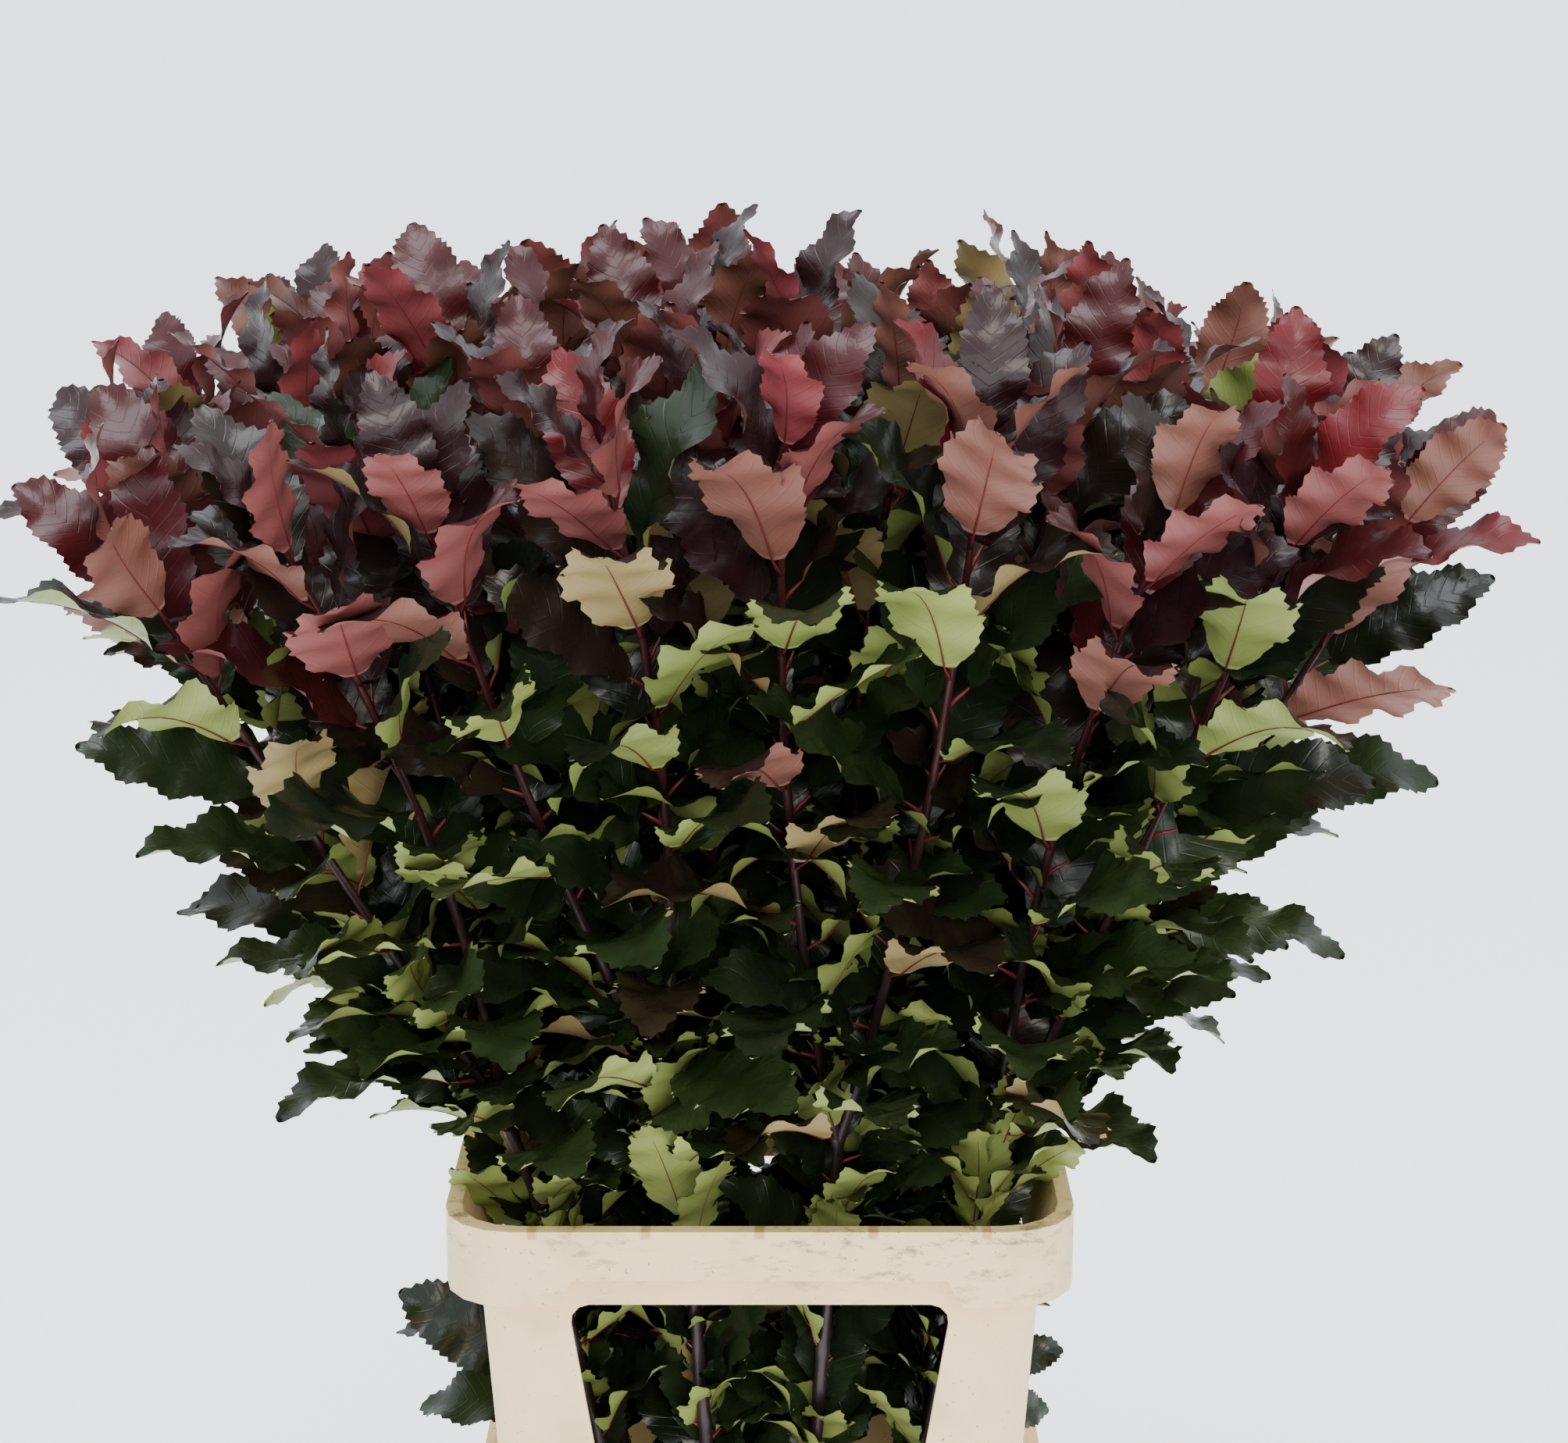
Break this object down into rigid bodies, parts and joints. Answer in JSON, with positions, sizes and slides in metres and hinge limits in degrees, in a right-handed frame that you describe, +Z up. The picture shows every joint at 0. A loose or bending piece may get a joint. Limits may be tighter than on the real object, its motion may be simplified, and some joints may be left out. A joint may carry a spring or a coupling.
{
  "type": "bucket of cut photinia stems",
  "caption": "Leafy photinia stems, wine red on top and green below, fanning out of a cream plastic flower bucket with an open collar.",
  "frame": {"origin": "on the floor, at the middle of the bucket's flat underside", "axes": "+Z up, the pictured front faces -Y, the bucket's long side lies along X"},
  "size_m": [0.7958, 0.5867, 1.0125],
  "materials": {
    "moulded_plastic": "cream moulded plastic, satin, scuffed and dusty along its edges",
    "stem_bark": "dark purple-brown young bark, redder and smoother towards the tips",
    "crown_leaf": null,
    "green_leaf": null
  },
  "bodies": {
    "root": {"bucket": "moulded_plastic", "collar": "moulded_plastic", "stem_01": "stem_bark", "stem_02": "stem_bark", "stem_03": "stem_bark", "stem_04": "stem_bark", "stem_05": "stem_bark", "stem_06": "stem_bark", "stem_07": "stem_bark", "stem_08": "stem_bark", "stem_09": "stem_bark", "stem_10": "stem_bark", "stem_11": "stem_bark", "stem_12": "stem_bark", "stem_13": "stem_bark", "stem_14": "stem_bark", "stem_15": "stem_bark", "stem_16": "stem_bark", "stem_17": "stem_bark", "stem_18": "stem_bark", "stem_19": "stem_bark", "stem_20": "stem_bark", "stem_21": "stem_bark", "stem_22": "stem_bark", "stem_23": "stem_bark", "stem_24": "stem_bark", "foliage_01": "crown_leaf", "foliage_02": "crown_leaf", "foliage_03": "crown_leaf", "foliage_04": "crown_leaf", "foliage_05": "crown_leaf", "foliage_06": "crown_leaf", "foliage_07": "crown_leaf", "foliage_08": "crown_leaf", "foliage_09": "crown_leaf", "foliage_10": "crown_leaf", "foliage_11": "crown_leaf", "foliage_12": "crown_leaf", "foliage_13": "crown_leaf", "foliage_14": "crown_leaf", "foliage_15": "crown_leaf", "foliage_16": "crown_leaf", "foliage_17": "crown_leaf", "foliage_18": "crown_leaf", "foliage_19": "crown_leaf", "foliage_20": "crown_leaf", "foliage_21": "crown_leaf", "foliage_22": "crown_leaf", "foliage_23": "crown_leaf", "foliage_24": "crown_leaf", "inner_foliage_01": "green_leaf", "inner_foliage_02": "green_leaf", "inner_foliage_03": "green_leaf", "inner_foliage_04": "green_leaf", "inner_foliage_05": "green_leaf", "inner_foliage_06": "green_leaf", "inner_foliage_07": "green_leaf", "inner_foliage_08": "green_leaf", "inner_foliage_09": "green_leaf", "inner_foliage_10": "green_leaf"}
  },
  "joints": []
}
